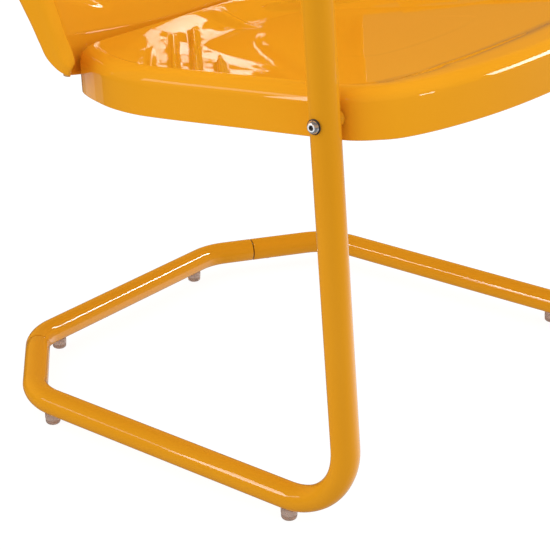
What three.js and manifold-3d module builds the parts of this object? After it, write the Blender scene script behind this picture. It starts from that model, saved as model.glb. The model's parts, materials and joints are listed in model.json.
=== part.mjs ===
// Retro metal spring lawn chair.
// Two bent side tubes and a rear crossbar make a cantilever frame; a pressed
// seat pan and a pressed back panel are bolted between the side tubes.
// Millimetres, +Z up, the sitter faces -Y, X = 0 is the plane of symmetry.
import * as THREE from 'three';
import { mergeVertices } from 'three/addons/utils/BufferGeometryUtils.js';
import { ParametricGeometry } from 'three/addons/geometries/ParametricGeometry.js';
import Module from 'manifold-3d';

const wasm = await Module();
wasm.setup();

// ---------------------------------------------------------------- dimensions
const Y_MID = 120.3;            // drawing Y of the chair's middle, moved to 0 at the end
const TUBE_R = 12.7;            // 25.4 mm tube
const TUBE_WALL = 1.5;
const TUBE_SIDES = 16;
const BORE_SIDES = 10;
const FOOT_H = 10;              // floor to the underside of the base tubes
const BASE_Z = FOOT_H + TUBE_R; // centre line of the base
const SIDE_X = 255;             // centre line of each side tube
const BASE_BEND = 62;           // bend radius of the base tubes, at the centre line

const CORNER_FRONT_Y = -170;    // side rail meets the leg (sharp corner)
// the crossbar sits a little to the left, so the two chamfers differ
const CORNER_REAR_Y = { left: 210, right: 215.3 }; // side rail meets the chamfer (sharp corner)
const CHAMFER_DEG = { left: 43.3, right: 34 }; // from the crossbar's direction
const BAR_BEND = { left: 53, right: 62 };
const BAR_Y = 301;              // crossbar
const SEAM_X = { left: 174, right: 171.3 }; // butt seam in each chamfer
const SEAM_GAP = 0.6;

const LEG_LEAN_DEG = 5.11;      // the leg leans back
const ARM_Z = 606;              // sharp corner of leg and arm
const ARM_BEND = 75;
const ARM_MID = [140, 603.8];   // Y, Z where the arm starts to fall
const ARM_MID_BEND = 1100;
const ARM_END = [306, 565.5];

const HINGE_BEND_DEG = 18;      // where the frame flexes: this far into the front bend
const HINGE_GAP = 1.2;

const SHEET = 1.2;              // pressed sheet
const SEAT_RAKE_DEG = 5.77;     // the seat falls to the rear
const SEAT_BOTTOM_Z = 340.8;    // seat's lower edge at Y = 0
const SEAT_H = 42;              // skirt with its rolled rim
const SEAT_ROLL = 9;
const SEAT_DRAFT = 1.5;         // the skirt leans out towards its lower edge
const DISH = 14;

const BACK_HALF = 237;
const BACK_TOP_Z = 857;
const BACK_SHOULDER_Z = 670;
const BACK_ROLL = 7;

const BOLT_R = 3;               // M6
const HOLE_R = 3.3;
const SEAT_BOLT = [-137.4, 373.6];
const ARM_BOLTS = [[294.3, 568.2], [272.9, 573.1]];
const BACK_BOLT_X = [-110, 0, 110];
const BACK_BOLT_Z = 343;

const FOOT_R = 7.6;
const FOOT_RAIL_Y = { left: [-105, 186], right: [-90, 201] };
const FOOT_BAR_X = { left: 128, right: 99 };

// ------------------------------------------------------------------ materials
const paint = () => new THREE.MeshStandardMaterial({ color: 0xeda41f, roughness: 0.18, metalness: 0.0 });
const steel = () => new THREE.MeshStandardMaterial({ color: 0xc9ccd0, roughness: 0.25, metalness: 1.0 });
const clear = () => new THREE.MeshStandardMaterial({ color: 0xd9cdc4, roughness: 0.3, metalness: 0.0 });
const plastic = () => new THREE.MeshStandardMaterial({ color: 0xe09a20, roughness: 0.35, metalness: 0.0 });

const chair = new THREE.Group();
const frame = new THREE.Group();
frame.position.y = -Y_MID;
chair.add(frame);

const rad = (d) => (d * Math.PI) / 180;
const V = (x, y, z) => new THREE.Vector3(x, y, z);

function add(name, geometry, material) {
  geometry.computeVertexNormals();
  const mesh = new THREE.Mesh(geometry, material);
  mesh.name = name;
  frame.add(mesh);
  return mesh;
}

// ------------------------------------------------- joining and cutting solids
function tidy(geometry) {
  const g = geometry.clone();
  for (const key of Object.keys(g.attributes)) if (key !== 'position') g.deleteAttribute(key);
  const merged = mergeVertices(g, 1e-4);
  const index = merged.index.array;
  const keep = [];
  for (let i = 0; i < index.length; i += 3) {
    const [a, b, c] = [index[i], index[i + 1], index[i + 2]];
    if (a !== b && b !== c && c !== a) keep.push(a, b, c);
  }
  merged.setIndex(keep);
  // faces point out
  const p = merged.attributes.position;
  let volume = 0;
  const [a, b, c] = [V(), V(), V()];
  for (let i = 0; i < keep.length; i += 3) {
    a.fromBufferAttribute(p, keep[i]); b.fromBufferAttribute(p, keep[i + 1]); c.fromBufferAttribute(p, keep[i + 2]);
    volume += a.dot(b.cross(c)) / 6;
  }
  if (volume < 0) {
    for (let i = 0; i < keep.length; i += 3) [keep[i + 1], keep[i + 2]] = [keep[i + 2], keep[i + 1]];
    merged.setIndex(keep);
  }
  return merged;
}

function solid(geometry) {
  const g = tidy(geometry);
  return new wasm.Manifold(new wasm.Mesh({
    numProp: 3,
    vertProperties: new Float32Array(g.attributes.position.array),
    triVerts: new Uint32Array(g.index.array),
  }));
}

function geometryOf(manifold) {
  const m = manifold.getMesh();
  const g = new THREE.BufferGeometry();
  g.setAttribute('position', new THREE.BufferAttribute(new Float32Array(m.vertProperties), 3));
  g.setIndex(Array.from(m.triVerts));
  return g;
}

function cut(geometry, tools) {
  let s = solid(geometry);
  for (const t of tools) s = s.subtract(solid(t));
  return geometryOf(s);
}

// cylinder from point a to point b
function rod(a, b, r, sides = 12) {
  const d = b.clone().sub(a);
  const g = new THREE.CylinderGeometry(r, r, d.length(), sides);
  g.applyQuaternion(new THREE.Quaternion().setFromUnitVectors(V(0, 1, 0), d.clone().normalize()));
  const m = a.clone().add(b).multiplyScalar(0.5);
  g.translate(m.x, m.y, m.z);
  return g;
}

// solid of revolution whose axis runs from origin along dir; profile is [[radius, height], ...]
function turned(profile, origin, dir, sides = 12) {
  const g = new THREE.LatheGeometry(profile.map(([r, h]) => new THREE.Vector2(r, h)), sides);
  g.applyQuaternion(new THREE.Quaternion().setFromUnitVectors(V(0, 1, 0), dir.clone().normalize()));
  g.translate(origin.x, origin.y, origin.z);
  return g;
}

// ------------------------------------------------------------------ bent tube
class TubeLine extends THREE.Curve {
  constructor(stations) { super(); this.stations = stations; }
  at(u) { return this.stations[Math.min(this.stations.length - 1, Math.round(u * (this.stations.length - 1)))]; }
  getPoint(u, target = V()) { return target.copy(this.at(u).p); }
  getPointAt(u, target = V()) { return target.copy(this.at(u).p); }
  getTangent(u, target = V()) { return target.copy(this.at(u).t); }
  getTangentAt(u, target = V()) { return target.copy(this.at(u).t); }
}

// arc that rounds a sharp corner; from and to are fractions of its turn
function bend(corner, dirIn, dirOut, radius, steps, from = 0, to = 1) {
  const a = dirIn.clone().normalize();
  const b = dirOut.clone().normalize();
  const turn = a.angleTo(b);
  const n = b.clone().sub(a.clone().multiplyScalar(a.dot(b))).normalize();
  const start = corner.clone().sub(a.clone().multiplyScalar(radius * Math.tan(turn / 2)));
  const centre = start.clone().add(n.clone().multiplyScalar(radius));
  const out = [];
  for (let i = 0; i <= steps; i++) {
    const w = turn * (from + ((to - from) * i) / steps);
    out.push({
      p: centre.clone().add(n.clone().multiplyScalar(-radius * Math.cos(w))).add(a.clone().multiplyScalar(radius * Math.sin(w))),
      t: a.clone().multiplyScalar(Math.cos(w)).add(n.clone().multiplyScalar(Math.sin(w))),
    });
  }
  out.turn = turn;
  return out;
}

function ring(r, sides) {
  return Array.from({ length: sides }, (_, i) => {
    const w = (2 * Math.PI * (i + 0.5)) / sides;
    return new THREE.Vector2(r * Math.cos(w), r * Math.sin(w));
  });
}

// vertices lie on the tube's true surface
function tube(stations, outer = TUBE_R, inner = TUBE_R - TUBE_WALL, sides = TUBE_SIDES, bore = BORE_SIDES) {
  const shape = new THREE.Shape(ring(outer, sides));
  shape.holes.push(new THREE.Path(ring(inner, bore).reverse()));
  return new THREE.ExtrudeGeometry(shape, {
    steps: stations.length - 1,
    extrudePath: new TubeLine(stations),
    bevelEnabled: false,
  });
}

// ----------------------------------------------------------------- side tubes
const sides = [['left', -1], ['right', 1]];
const chamferOut = {}; // from the crossbar outwards
const seamPoint = {};
for (const [side, s] of sides) {
  const w = rad(CHAMFER_DEG[side]);
  chamferOut[side] = V(s * Math.cos(w), -Math.sin(w), 0);
  seamPoint[side] = V(s * SEAM_X[side], CORNER_REAR_Y[side] + (SIDE_X - SEAM_X[side]) * Math.tan(w), BASE_Z);
}
const legDir = V(0, Math.sin(rad(LEG_LEAN_DEG)), Math.cos(rad(LEG_LEAN_DEG)));
const mirror = (v, s) => V(v.x * s, v.y, v.z);
const legY = (z) => CORNER_FRONT_Y + (z - BASE_Z) * Math.tan(rad(LEG_LEAN_DEG));

function sideStations(side, s) {
  const rearCorner = V(s * SIDE_X, CORNER_REAR_Y[side], BASE_Z);
  const frontCorner = V(s * SIDE_X, CORNER_FRONT_Y, BASE_Z);
  const armCorner = V(s * SIDE_X, legY(ARM_Z), ARM_Z);
  const armMid = V(s * SIDE_X, ARM_MID[0], ARM_MID[1]);
  const armEnd = V(s * SIDE_X, ARM_END[0], ARM_END[1]);
  const chamfer = chamferOut[side];
  const forward = V(0, -1, 0);
  const seam = seamPoint[side].clone().add(chamfer.clone().multiplyScalar(SEAM_GAP / 2));
  const frontTurn = forward.angleTo(legDir);
  const cutAt = rad(HINGE_BEND_DEG) / frontTurn;
  const half = HINGE_GAP / 2 / (BASE_BEND * frontTurn);
  const arm1 = armMid.clone().sub(armCorner);
  const arm2 = armEnd.clone().sub(armMid);
  return {
    rail: [
      { p: seam, t: chamfer },
      ...bend(rearCorner, chamfer, forward, BASE_BEND, 5),
      ...bend(frontCorner, forward, legDir, BASE_BEND, 2, 0, cutAt - half),
    ],
    upright: [
      ...bend(frontCorner, forward, legDir, BASE_BEND, 7, cutAt + half, 1),
      ...bend(armCorner, legDir, arm1, ARM_BEND, 8),
      ...bend(armMid, arm1, arm2, ARM_MID_BEND, 3),
      { p: armEnd, t: arm2.clone().normalize() },
    ],
    hinge: bend(frontCorner, forward, legDir, BASE_BEND, 1, cutAt, 1)[0],
  };
}

const throughX = (y, z, s) => rod(V(s * (SIDE_X - 20), y, z), V(s * (SIDE_X + 20), y, z), HOLE_R, 8);
const stemHole = (x, y) => rod(V(x, y, FOOT_H - 4), V(x, y, FOOT_H + 6), 3.6, 8);
const SCREW_S = 20;             // joint screw, along the side tube from the seam
function barArc(side, s, steps) {
  const cornerX = s * (SEAM_X[side] - (BAR_Y - seamPoint[side].y) / Math.tan(rad(CHAMFER_DEG[side])));
  return bend(V(cornerX, BAR_Y, BASE_Z), V(s, 0, 0), chamferOut[side], BAR_BEND[side], steps);
}
const along = (side, d) => seamPoint[side].clone().add(chamferOut[side].clone().multiplyScalar(d));

for (const [side, s] of sides) {
  const st = sideStations(side, s);
  const screwAt = along(side, SCREW_S);
  add(`side_rail_${side}`, cut(tube(st.rail), [
    ...FOOT_RAIL_Y[side].map((y) => stemHole(s * SIDE_X, y)),
    rod(V(screwAt.x, screwAt.y, 6), V(screwAt.x, screwAt.y, 16), HOLE_R, 8),
  ]), paint());
  add(`upright_arm_${side}`, cut(tube(st.upright), [
    throughX(...SEAT_BOLT, s),
    ...ARM_BOLTS.map(([y, z]) => throughX(y, z, s)),
  ]), paint());

  // sleeve inside the seam, held by one screw from below
  const arc = barArc(side, s, 6);
  const start = side === 'left' ? arc.slice(3) : [{ p: along(side, -28), t: chamferOut[side] }];
  add(`coupling_sleeve_${side}`, cut(tube([...start, { p: along(side, 32), t: chamferOut[side] }], 10.3, 8.5, 12, 8), [
    rod(V(screwAt.x, screwAt.y, 8), V(screwAt.x, screwAt.y, 18), HOLE_R, 8),
  ]), steel());
  add(`joint_screw_${side}`, turned([
    [0, 0], [5, 0.4], [5.4, 2.4], [5, 3.0], [2.9, 3.0], [2.9, 12], [0, 12.6],
  ], V(screwAt.x, screwAt.y, BASE_Z - TUBE_R - 3.3), V(0, 0, 1), 10), steel());
}

// ------------------------------------------------------------------- crossbar
const barHalf = sides.map(([side, s]) => {
  const arc = barArc(side, s, 4);
  const end = along(side, -SEAM_GAP / 2);
  // a bend that runs right up to the seam needs no straight piece after it
  return arc[4].p.distanceTo(end) < 1 ? arc : [...arc, { p: end, t: chamferOut[side] }];
});
const barStations = [
  ...barHalf[0].map(({ p, t }) => ({ p, t: t.clone().negate() })).reverse(), ...barHalf[1],
];
const footBar = sides.map(([side, s]) => V(s * FOOT_BAR_X[side], BAR_Y, 0));
add('rear_crossbar', cut(tube(barStations), footBar.map((f) => stemHole(f.x, f.y))), paint());

// ---------------------------------------------------------------- foot glides
function glide(name, x, y, run) {
  const body = turned([
    [0, 0], [4.6, 0], [6.4, 0.9], [7.2, 2.6], [FOOT_R, FOOT_H - 1], [FOOT_R, FOOT_H + 2.4],
    [3.2, FOOT_H + 2.4], [3.2, FOOT_H + 7], [0, FOOT_H + 7],
  ], V(x, y, 0), V(0, 0, 1), 14);
  // the head is hollowed to sit against the tube; the stem passes its wall
  const saddle = new THREE.ExtrudeGeometry(new THREE.Shape(ring(TUBE_R + 0.35, TUBE_SIDES)), {
    steps: run.length - 1, extrudePath: new TubeLine(run), bevelEnabled: false,
  });
  const stem = turned([[0, FOOT_H - 3], [3.2, FOOT_H - 3], [3.2, FOOT_H + 7], [0, FOOT_H + 7]], V(x, y, 0), V(0, 0, 1), 8);
  add(name, geometryOf(solid(body).subtract(solid(saddle)).add(solid(stem))), clear());
}
for (const [side, s] of sides) {
  const { rail } = sideStations(side, s);
  glide(`foot_glide_front_${side}`, s * SIDE_X, FOOT_RAIL_Y[side][0], rail);
  glide(`foot_glide_middle_${side}`, s * SIDE_X, FOOT_RAIL_Y[side][1], rail);
  glide(`foot_glide_rear_${side}`, s * FOOT_BAR_X[side], BAR_Y, barStations);
}

// --------------------------------------------------------- pressed-sheet shell
// rows: outer surface, centre first, each row one closed ring of points; the
// inner surface lies one sheet thickness behind it
function shell(rows, thickness) {
  const n = rows[0].length;
  const K = rows.length;
  const normals = rows.map((row, k) => row.map((p, i) => {
    const e = rows[Math.min(K - 1, k + 1)][i].clone().sub(rows[Math.max(0, k - 1)][i]);
    const f = row[(i + 1) % n].clone().sub(row[(i + n - 1) % n]);
    return e.cross(f);
  }));
  // the centre row is one point
  const mid = V();
  normals[1].forEach((v) => mid.add(v));
  normals[0] = normals[0].map(() => mid.clone());
  const inner = rows.map((row, k) => row.map((p, i) => p.clone().sub(normals[k][i].clone().normalize().multiplyScalar(thickness))));
  const all = [...rows, ...inner.reverse()];
  const stacks = all.length - 1;
  const g = new ParametricGeometry((u, v, target) => {
    const k = Math.min(stacks, Math.max(0, Math.round(v * stacks)));
    const i = Math.round(u * n) % n;
    target.copy(all[k][(i + n) % n]);
  }, n, stacks);
  // both skins are divided along the same diagonals, so that the sheet keeps its thickness
  const index = [];
  for (let k = 0; k < stacks; k++) {
    for (let i = 0; i < n; i++) {
      const a = k * (n + 1) + i; const b = a + 1; const d = a + n + 1; const c = d + 1;
      if (k < K) index.push(a, b, d, b, c, d); else index.push(a, b, c, a, c, d);
    }
  }
  g.setIndex(index);
  return tidy(g);
}

const lerp = (a, b, w) => a + (b - a) * w;
const smooth = (w) => { const x = Math.min(1, Math.max(0, w)); return x * x * (3 - 2 * x); };

// --------------------------------------------------------------------- seat
// outline of the lower edge, right half from the front centre to the rear centre
const SEAT_OUTLINE = [
  [0, -227], [50, -225.4], [90, -222.2], [126, -216.7], [158, -209], [186, -199.6], [206, -190.2], [218, -181.8],
  [226, -171], [232, -161], [235.7, -150.5], [237, -135], [237, -40], [237, 50], [235.4, 78], [231, 100],
  [223.5, 124], [212.5, 148], [205, 163], [197, 177], [188, 190], [176.5, 200.8], [163.5, 206.4], [148, 208], [100, 207.5], [0, 207.5],
];
const SEAT_CENTRE = [0, -10];

// depth of the seat's surface below the rim, dished towards the rear half
function seatDepth(x, y) {
  const ax = Math.abs(x);
  const across = 1 - Math.pow(Math.min(1, ax / 226), 2.4);
  const shelf = 206 - 0.4 * ax - y;
  const rear = smooth(shelf / 105);
  const front = y < 60 ? 1 - Math.pow(Math.min(1, (60 - y) / 277), 1.8) : 1;
  return 2.4 + DISH * across * rear * front;
}

{
  const half = SEAT_OUTLINE;
  const outline = [...half.map(([x, y]) => [x, y]), ...half.slice(1, -1).reverse().map(([x, y]) => [-x, y])];
  const n = outline.length;
  const normal = outline.map((p, i) => {
    const a = outline[(i + n - 1) % n]; const b = outline[(i + 1) % n];
    const d = new THREE.Vector2(b[1] - a[1], a[0] - b[0]).normalize();
    return d;
  });
  const inset = (i, d) => [outline[i][0] - normal[i].x * d, outline[i][1] - normal[i].y * d];
  const rows = [];
  const field = (rho) => outline.map((_, i) => {
    const [ex, ey] = inset(i, 20);
    const x = lerp(SEAT_CENTRE[0], ex, rho); const y = lerp(SEAT_CENTRE[1], ey, rho);
    return V(x, y, SEAT_H - seatDepth(x, y));
  });
  for (const rho of [0, 0.3, 0.6, 0.82, 1]) rows.push(field(rho));
  const at = (d, w) => outline.map((_, i) => {
    const [x, y] = inset(i, d + (SEAT_DRAFT * (SEAT_H - w)) / SEAT_H);
    return V(x, y, SEAT_H - w);
  });
  rows.push(at(10, 0));
  rows.push(at(SEAT_ROLL * (1 - Math.sin(rad(35))), SEAT_ROLL * (1 - Math.cos(rad(35)))));
  rows.push(at(SEAT_ROLL * (1 - Math.sin(rad(65))), SEAT_ROLL * (1 - Math.cos(rad(65)))));
  rows.push(at(0, SEAT_ROLL));
  rows.push(at(0, SEAT_H));
  const g = shell(rows, SHEET);
  g.rotateX(-rad(SEAT_RAKE_DEG));
  g.translate(0, 0, SEAT_BOTTOM_Z);
  add('seat_pan', cut(g, [
    rod(V(-250, ...SEAT_BOLT), V(-225, ...SEAT_BOLT), HOLE_R, 8),
    rod(V(225, ...SEAT_BOLT), V(250, ...SEAT_BOLT), HOLE_R, 8),
    ...BACK_BOLT_X.map((x) => rod(V(x, 170, BACK_BOLT_Z), V(x, 215, BACK_BOLT_Z), HOLE_R, 8)),
  ]), paint());
}

// --------------------------------------------------------------------- back
function table(points) {
  const n = points.length;
  const m = points.map((p, i) => {
    const a = points[Math.max(0, i - 1)]; const b = points[Math.min(n - 1, i + 1)];
    return (b[1] - a[1]) / (b[0] - a[0]);
  });
  return (x) => {
    let i = 0;
    while (i < n - 2 && x > points[i + 1][0]) i++;
    const h = points[i + 1][0] - points[i][0];
    const t = (x - points[i][0]) / h;
    if (t < 0) return points[i][1] + m[i] * (x - points[i][0]);
    if (t > 1) return points[i + 1][1] + m[i + 1] * (x - points[i + 1][0]);
    const t2 = t * t; const t3 = t2 * t;
    return (2 * t3 - 3 * t2 + 1) * points[i][1] + (t3 - 2 * t2 + t) * h * m[i]
      + (-2 * t3 + 3 * t2) * points[i + 1][1] + (t3 - t2) * h * m[i + 1];
  };
}
// Y of the face on the middle plane, and of the side flanges' rear edge, by height
const faceY = table([[350, 207.6], [360, 211.5], [372, 216.3], [385, 221.4], [410, 231.6], [450, 248.8],
  [480, 261.8], [520, 280.2], [560, 299.4], [610, 324.4], [650, 345.5], [700, 373.2], [750, 401], [800, 428], [857, 457]]);
const flangeY = table([[352, 161], [357, 171], [365, 182.8], [373.5, 189.1], [385, 196], [398.8, 204.2], [415.5, 215.4],
  [450, 236.5], [480, 254.5], [520, 278.5], [560, 302], [610, 331], [650, 353.8], [700, 382.3], [750, 409.8], [800, 436.2], [857, 464.5]]);
const SKIRT_SLOPE = Math.tan(rad(SEAT_RAKE_DEG));
const creaseZ = (x) => 360 + 0.00036 * x * x;
const skirtZ = (x) => 324 + 23 * Math.pow(Math.abs(x) / 220, 4);
// how far the sides come forward of the middle
const curl = (x, z) => lerp(65, 50, smooth((z - 400) / 260)) * Math.pow(Math.min(1, Math.abs(x) / BACK_HALF), 8);
function backY(x, z) {
  const zc = creaseZ(x);
  return (z >= zc ? faceY(z) : faceY(zc) + (z - zc) * SKIRT_SLOPE) - curl(x, z);
}

// stations of the right half, from the bottom centre to the top centre: the
// rim or crease point, the end of its roll, and the panel's free edge
function backStations() {
  const out = [];
  for (const x of [0, 55, 100, 135, 165, 190, 210]) {
    const z = creaseZ(x);
    out.push({
      c: V(x, backY(x, z), z), r: V(x, backY(x, z - 6), z - 6), e: V(x, backY(x, skirtZ(x)), skirtZ(x)),
      f: [x * 0.93, z + 12],
    });
  }
  const rim = (x, z) => V(x, backY(x, z) - 6, z);
  out.push({ c: V(219, 178, 372), r: V(220.5, 176.5, 365), e: V(220, 175.5, 347), f: [202, 388.5] });
  out.push({ c: V(225.5, 167, 367), r: V(227, 166, 361), e: V(227, 167, 350.2), f: [207, 390.5] });
  out.push({ c: V(229, 157, 365), r: V(232.3, 158, 359.5), e: V(232.3, 161.5, 352.6), f: [210.5, 393] });
  out.push({ c: V(230, 157.2, 370), r: V(236, 163, 364), e: V(236.6, 169, 356.4), f: [213, 396.5] });
  out.push({ c: V(230, 160.5, 378), r: V(237, 168.5, 373), e: V(237, 182.8, 365), f: [215, 401.5] });
  for (const [zc, ze] of [[388, 379], [402, 394], [420, 414], [450, 446], [485, 483], [525, 524], [565, 565], [608, 608], [645, 645]]) {
    const c = rim(230, zc);
    out.push({ c, r: V(237, c.y + BACK_ROLL, zc), e: V(237, flangeY(ze), ze), f: [216, zc + 20 * smooth((470 - zc) / 100)] });
  }
  const N = 2.5;
  for (const deg of [6, 17, 28, 39, 50, 61, 72, 82, 90]) {
    const w = rad(deg);
    const x = deg === 90 ? 0 : BACK_HALF * Math.pow(Math.cos(w), 2 / N);
    const z = BACK_SHOULDER_Z + (BACK_TOP_Z - BACK_SHOULDER_Z) * Math.pow(Math.sin(w), 2 / N);
    const nx = Math.pow(Math.max(0, x / BACK_HALF), N - 1) / BACK_HALF;
    const nz = Math.pow((z - BACK_SHOULDER_Z) / (BACK_TOP_Z - BACK_SHOULDER_Z), N - 1) / (BACK_TOP_Z - BACK_SHOULDER_Z);
    const l = Math.hypot(nx, nz);
    const [ox, oz] = [nx / l, nz / l];
    const c = rim(x - 7 * ox, z - 7 * oz);
    const r = V(x, c.y + BACK_ROLL, z - 3 * oz);
    const ey = Math.max(flangeY(z), r.y + 12);
    const drop = (ey - r.y) * 0.5 * oz;
    out.push({ c, r, e: V(x, ey, z - 3 * oz - drop), f: [x - 21 * ox, z - 21 * oz] });
  }
  return out;
}

{
  const half = backStations();
  const flip = (st) => ({ c: mirror(st.c, -1), r: mirror(st.r, -1), e: mirror(st.e, -1), f: [-st.f[0], st.f[1]] });
  const all = [...half, ...half.slice(1, -1).reverse().map(flip)];
  const CZ = 590;
  const rows = [];
  for (const rho of [0, 0.3, 0.55, 0.75, 0.89, 1]) {
    rows.push(all.map(({ f }) => { const x = f[0] * rho; const z = lerp(CZ, f[1], rho); return V(x, backY(x, z), z); }));
  }
  rows.push(all.map(({ c }) => c.clone()));
  rows.push(all.map(({ c, r, e }, i) => {
    const m = c.clone().lerp(r, 0.5);
    const out = r.clone().sub(e).normalize().multiplyScalar(1.6); // fullness of the roll
    return m.add(out.multiplyScalar(all[i].c.z > 386 ? 1 : 0));
  }));
  rows.push(all.map(({ r }) => r.clone()));
  rows.push(all.map(({ r, e }) => r.clone().lerp(e, 0.5)));
  rows.push(all.map(({ e }) => e.clone()));
  add('back_panel', cut(shell(rows, SHEET), [
    ...sides.flatMap(([, s]) => ARM_BOLTS.map(([y, z]) => rod(V(s * 228, y, z), V(s * 250, y, z), HOLE_R, 8))),
    ...BACK_BOLT_X.map((x) => rod(V(x, 170, BACK_BOLT_Z), V(x, 215, BACK_BOLT_Z), HOLE_R, 8)),
  ]), paint());
}

// ------------------------------------------------------------------ fasteners
// button-head screw: the head's underside at origin, shank along dir
function buttonBolt(name, origin, dir, length) {
  const d = dir.clone().normalize();
  const body = turned([
    [0, -3.3], [2.6, -3.1], [4.6, -2.2], [5.3, -0.8], [5.3, 0], [BOLT_R, 0], [BOLT_R, length - 0.8], [BOLT_R - 0.8, length], [0, length],
  ], origin, d, 12);
  const socket = rod(origin.clone().sub(d.clone().multiplyScalar(6)), origin.clone().sub(d.clone().multiplyScalar(1.3)), 2.3, 6);
  add(name, geometryOf(solid(body).subtract(solid(socket))), steel());
}
function hollow(name, origin, dir, outer, inner, length, sidesN, material) {
  add(name, turned([[inner, 0], [outer, 0], [outer, length], [inner, length], [inner, 0]], origin, dir, sidesN), material);
}
function lockNut(name, origin, dir) {
  const d = dir.clone().normalize();
  const hex = rod(origin, origin.clone().add(d.clone().multiplyScalar(5.6)), 5.77, 6);
  const collar = turned([[0, 5], [4.6, 5], [4.2, 7], [0, 7.2]], origin, d, 10);
  const bore = rod(origin.clone().sub(d), origin.clone().add(d.clone().multiplyScalar(9)), HOLE_R, 8);
  add(name, geometryOf(solid(hex).add(solid(collar)).subtract(solid(bore))), steel());
}

const tubeOut = SIDE_X + TUBE_R;
const tubeIn = SIDE_X - TUBE_R;
for (const [side, s] of sides) {
  const inward = V(-s, 0, 0);
  const set = [['seat', SEAT_BOLT, true], ['arm_rear', ARM_BOLTS[0], false], ['arm_front', ARM_BOLTS[1], false]];
  for (const [label, [y, z], seat] of set) {
    hollow(`${label}_washer_${side}`, V(s * (tubeOut + 1.2), y, z), inward, 6.4, 3.4, 1.0, 12, steel());
    buttonBolt(`${label}_bolt_${side}`, V(s * (tubeOut + 1.4), y, z), inward, 43);
    hollow(`${label}_spacer_${side}`, V(s * (tubeIn - 0.3), y, z), inward, seat ? 7.8 : 7, 3.4, tubeIn - 0.3 - 237.3, 14, paint());
    lockNut(`${label}_nut_${side}`, V(s * (seat ? 234.2 : 235.4), y, z), inward);
  }
  // plug in the open rear end of the arm
  const end = V(s * SIDE_X, ARM_END[0], ARM_END[1]);
  const dir = V(0, ARM_END[0] - ARM_MID[0], ARM_END[1] - ARM_MID[1]).normalize();
  add(`arm_end_cap_${side}`, turned([
    [0, -7], [TUBE_R - TUBE_WALL - 1.4, -7], [TUBE_R - TUBE_WALL - 1.0, 0.3], [TUBE_R - 0.2, 0.3], [TUBE_R - 0.6, 2.2], [7, 3.4], [0, 3.8],
  ], end, dir, 14), plastic());
}

BACK_BOLT_X.forEach((x, i) => {
  const tag = ['left', 'middle', 'right'][i];
  const skirt = backY(x, BACK_BOLT_Z);
  buttonBolt(`back_bolt_${tag}`, V(x, skirt + SHEET + 0.9, BACK_BOLT_Z), V(0, -1, 0), 18);
  lockNut(`back_nut_${tag}`, V(x, skirt - 5.4, BACK_BOLT_Z), V(0, -1, 0));
});

export default chair;
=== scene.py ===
"""Looks of the retro metal spring lawn chair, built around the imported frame.
Drawing units here are millimetres in the CAD's drawing frame; mm() turns them into the row frame's metres."""
import json
import math
import bpy
import numpy as np
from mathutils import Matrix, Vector

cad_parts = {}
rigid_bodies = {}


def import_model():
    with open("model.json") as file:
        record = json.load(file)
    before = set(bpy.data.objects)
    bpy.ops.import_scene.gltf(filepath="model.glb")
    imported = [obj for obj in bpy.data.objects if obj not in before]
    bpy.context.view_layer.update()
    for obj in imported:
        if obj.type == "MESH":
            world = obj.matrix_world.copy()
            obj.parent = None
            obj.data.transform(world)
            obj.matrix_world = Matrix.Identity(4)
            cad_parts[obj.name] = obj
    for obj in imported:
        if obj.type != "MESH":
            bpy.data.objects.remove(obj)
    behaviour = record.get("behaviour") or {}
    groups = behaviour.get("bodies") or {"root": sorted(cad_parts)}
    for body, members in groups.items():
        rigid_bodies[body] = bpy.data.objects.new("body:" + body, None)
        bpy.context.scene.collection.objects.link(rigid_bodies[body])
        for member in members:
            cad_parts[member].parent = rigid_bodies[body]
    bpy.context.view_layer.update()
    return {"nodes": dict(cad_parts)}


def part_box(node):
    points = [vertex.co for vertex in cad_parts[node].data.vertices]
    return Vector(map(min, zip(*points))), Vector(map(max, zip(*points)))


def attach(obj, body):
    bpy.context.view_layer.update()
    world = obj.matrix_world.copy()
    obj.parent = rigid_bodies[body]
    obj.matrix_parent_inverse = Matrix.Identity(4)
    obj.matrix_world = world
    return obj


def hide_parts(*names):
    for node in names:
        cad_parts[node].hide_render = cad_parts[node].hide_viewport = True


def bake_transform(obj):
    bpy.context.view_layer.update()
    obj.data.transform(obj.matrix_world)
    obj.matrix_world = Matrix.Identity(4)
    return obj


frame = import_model()
scene = bpy.context.scene

Y_MID = 120.3
SHIFT = np.array([0.0, Y_MID, 0.0])


def mm(p):
    return (np.asarray(p, float) - SHIFT) / 1000.0


def rad(d):
    return d * math.pi / 180


def unit(v):
    v = np.asarray(v, float)
    return v / np.linalg.norm(v)


def smooth(w):
    w = np.clip(w, 0, 1)
    return w * w * (3 - 2 * w)


def lerp(a, b, w):
    return a + (b - a) * w


# ------------------------------------------------------------------- camera
cam_data = bpy.data.cameras.new("camera")
cam = bpy.data.objects.new("camera", cam_data)
scene.collection.objects.link(cam)
cam_data.lens = 106.50
cam_data.sensor_width = 36.0
cam_data.sensor_fit = "AUTO"
cam_data.clip_start, cam_data.clip_end = 0.05, 60
AZ, EL = rad(-52.7), rad(23.4)
back = Vector((math.sin(AZ) * math.cos(EL), -math.cos(AZ) * math.cos(EL), math.sin(EL)))
cam.location = (-1.2494, -0.9670, 0.7716)
cam.rotation_mode = "QUATERNION"
cam.rotation_quaternion = (-back).to_track_quat("-Z", "Y")
scene.camera = cam


# ---------------------------------------------------------------- materials
def new_material(name):
    m = bpy.data.materials.new(name)
    m.use_nodes = True
    nt = m.node_tree
    nt.nodes.clear()
    out = nt.nodes.new("ShaderNodeOutputMaterial")
    bsdf = nt.nodes.new("ShaderNodeBsdfPrincipled")
    nt.links.new(bsdf.outputs[0], out.inputs["Surface"])
    return m, nt, bsdf


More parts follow.
